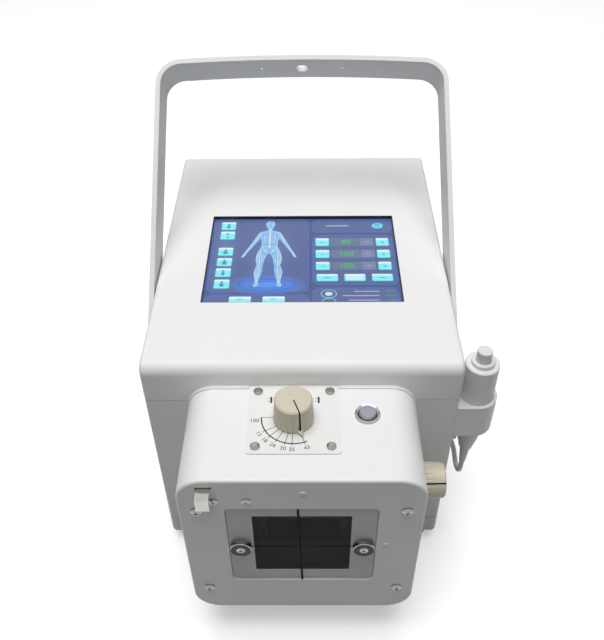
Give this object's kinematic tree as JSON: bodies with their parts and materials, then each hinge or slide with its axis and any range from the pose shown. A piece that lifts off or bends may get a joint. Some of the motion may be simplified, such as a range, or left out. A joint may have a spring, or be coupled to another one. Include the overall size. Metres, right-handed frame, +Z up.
{
  "type": "portable x-ray machine",
  "caption": "Portable x-ray generator with touch screen, beam limiter with dial-driven shutters, tilting carry handle and a wired hand switch in a side holder.",
  "frame": {"origin": "on the standing plane under the feet, at the middle of the casing's width and depth", "axes": "+Z up from the feet to the screen; -Y is the beam direction, through the beam limiter's window; +X is the side with the hand switch"},
  "size_m": [0.2705, 0.445, 0.3383],
  "materials": {
    "white_plastic": "semi-gloss moulded ABS, off-white",
    "cover_white": "satin white powder coat",
    "tray_white": "satin white powder coat",
    "foot_rubber": "matt black rubber",
    "steel": "zinc plated",
    "plated": "nickel plated",
    "glass": "touch glass over a lit screen",
    "module_black": "black display module",
    "board_green": "printed circuit board",
    "aluminium": "plain milled",
    "acrylic": "clear acrylic over a dark cavity",
    "knob_cream": "cream moulded plastic",
    "dial_white": "satin white plate, printed scale",
    "blade_lead": "dark grey painted shutter",
    "brass": "turned brass",
    "mirror": "front-silvered glass",
    "black_plastic": "black moulded plastic",
    "soft_clear": "translucent soft bumper",
    "tape_yellow": "enamelled spring-steel tape",
    "handle_white": "satin white powder coat",
    "switch_white": "semi-gloss white moulded plastic",
    "button_grey": "light grey moulded button",
    "cord_white": "white flexible cord jacket"
  },
  "bodies": {
    "casing": {"top_cover": "cover_white", "main_housing": "cover_white", "base_tray": "tray_white", "rubber_feet": "foot_rubber", "foot_screws": "steel", "touch_glass": "glass", "display_module": "module_black", "display_bracket": "aluminium", "control_board": "board_green", "collimator_rim": "white_plastic", "collimator_cover": "white_plastic", "window_pane": "acrylic", "pot_magnets": "plated", "bumper_dots": "soft_clear", "guide_columns": "brass", "shutter_guide": "aluminium", "shaft_bushes": "brass", "dial_plate": "dial_white", "field_lamp": "aluminium", "field_mirror": "mirror", "mirror_bracket": "aluminium", "lamp_button_ring": "plated", "tape_case": "black_plastic", "handle_pivots": "plated", "handle_washers": "black_plastic", "switch_holder": "white_plastic", "handset_cord": "cord_white", "cord_coil": "cord_white", "cord_tail": "cord_white", "cord_plug": "plated", "cord_socket": "plated", "cord_clip": "white_plastic", "chassis_plate": "aluminium", "tube_tank": "aluminium", "beam_port": "aluminium", "heat_sink": "aluminium", "inverter_board": "board_green", "fan_frame": "black_plastic", "mains_inlet": "black_plastic", "inlet_pins": "plated", "cover_screws": "steel", "small_screws": "steel"},
    "top_dial": {"top_knob": "knob_cream", "top_shaft": "steel"},
    "side_dial": {"side_knob": "knob_cream", "side_shaft": "steel"},
    "right_blade": {"shutter_right": "blade_lead"},
    "left_blade": {"shutter_left": "blade_lead"},
    "upper_blade": {"shutter_upper": "blade_lead"},
    "lower_blade": {"shutter_lower": "blade_lead"},
    "lamp_cap": {"lamp_button": "steel"},
    "tape": {"tape_blade": "tape_yellow", "tape_tab": "plated"},
    "carry_handle": {"handle": "handle_white"},
    "handset": {"handset_body": "switch_white", "handset_sleeve": "switch_white", "strain_relief": "cord_white"},
    "trigger": {"handset_button": "button_grey"},
    "fan": {"fan_rotor": "black_plastic"},
    "rocker": {"power_rocker": "black_plastic"}
  },
  "joints": [
    {"name": "handle_tilt", "type": "hinge", "parent": "casing", "child": "carry_handle", "pos_m": [0, -0.0913, 0.1677], "axis": [1, 0, 0], "range_deg": [-45, 51.4]},
    {"name": "top_dial_turn", "type": "hinge", "parent": "casing", "child": "top_dial", "pos_m": [-0.0055, -0.1725, 0.21], "axis": [0, 0, 1], "range_deg": [-110, 0]},
    {"name": "side_dial_turn", "type": "hinge", "parent": "casing", "child": "side_dial", "pos_m": [0.095, -0.1725, 0.1281], "axis": [1, 0, 0], "range_deg": [0, 110]},
    {"name": "right_blade_slide", "type": "slide", "parent": "casing", "child": "right_blade", "axis": [1, 0, 0], "range_m": [-0.02688, 0]},
    {"name": "left_blade_slide", "type": "slide", "parent": "casing", "child": "left_blade", "axis": [1, 0, 0], "range_m": [0, 0.0269]},
    {"name": "upper_blade_slide", "type": "slide", "parent": "casing", "child": "upper_blade", "axis": [0, 0, 1], "range_m": [-0.02688, 0]},
    {"name": "lower_blade_slide", "type": "slide", "parent": "casing", "child": "lower_blade", "axis": [0, 0, 1], "range_m": [0, 0.0269]},
    {"name": "lamp_button_press", "type": "slide", "parent": "casing", "child": "lamp_cap", "axis": [0, 0, -1], "range_m": [0, 0.0012], "stiffness_N_per_m": 800},
    {"name": "tape_pull", "type": "slide", "parent": "casing", "child": "tape", "axis": [0, -1, 0], "range_m": [0, 0.055], "stiffness_N_per_m": 8},
    {"name": "handset_lift", "type": "slide", "parent": "casing", "child": "handset", "axis": [0, 0, 1], "range_m": [0, 0.03]},
    {"name": "trigger_press", "type": "slide", "parent": "handset", "child": "trigger", "axis": [0, 0, -1], "range_m": [0, 0.003], "stiffness_N_per_m": 500},
    {"name": "fan_spin", "type": "hinge", "parent": "casing", "child": "fan", "pos_m": [0, 0.127, 0.105], "axis": [0, 1, 0], "continuous": true},
    {"name": "rocker_tilt", "type": "hinge", "parent": "casing", "child": "rocker", "pos_m": [-0.078, 0.137, 0.073], "axis": [1, 0, 0], "range_deg": [-12, 0]}
  ],
  "couplings": [
    {"joint": "top_dial_turn", "follows": "right_blade_slide", "rad_per_m": 71.429},
    {"joint": "left_blade_slide", "follows": "right_blade_slide", "ratio": -1},
    {"joint": "side_dial_turn", "follows": "upper_blade_slide", "rad_per_m": -71.429},
    {"joint": "lower_blade_slide", "follows": "upper_blade_slide", "ratio": -1}
  ]
}
